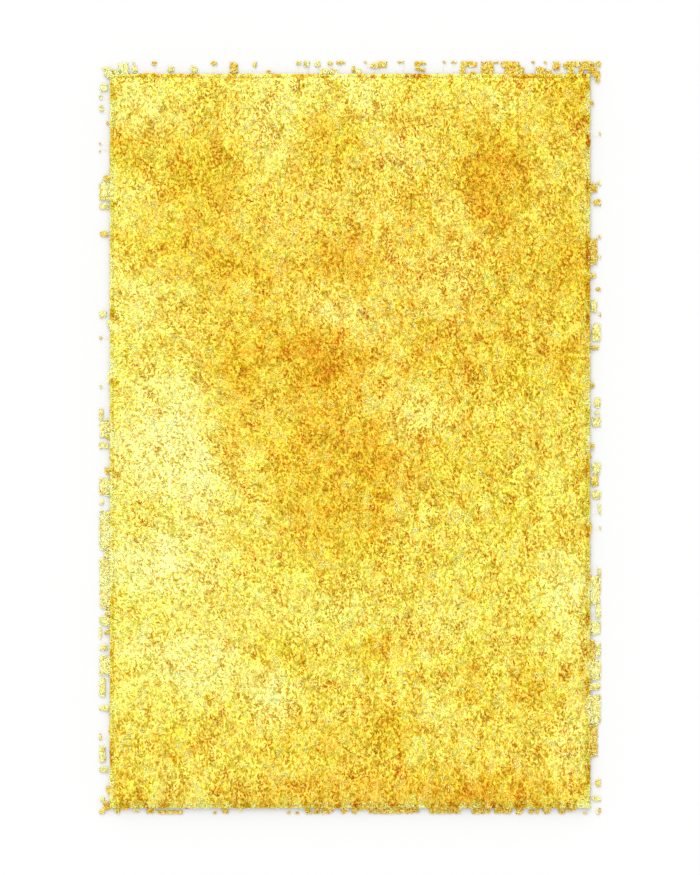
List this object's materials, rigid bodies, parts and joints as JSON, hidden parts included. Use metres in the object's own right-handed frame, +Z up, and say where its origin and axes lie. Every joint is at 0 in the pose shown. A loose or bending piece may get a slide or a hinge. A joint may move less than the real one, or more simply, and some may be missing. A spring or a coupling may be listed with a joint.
{
  "type": "shag rug",
  "caption": "Rectangular shag rug lying flat, a lumpy slab of long cut pile with flopped locks along its rim and a flat underside.",
  "frame": {"origin": "middle of the rug's overall rectangle, on the flat underside", "axes": "+Y along the rug's length towards the picture's top, +X across it to the picture's right, +Z up out of the pile"},
  "size_m": [1.2, 1.8, 0.042],
  "materials": {
    "pile": "long cut yarn pile in mixed golds from amber to pale lemon, soft sheen on the yarns"
  },
  "bodies": {
    "root": {"shag_rug": "pile"}
  },
  "joints": []
}
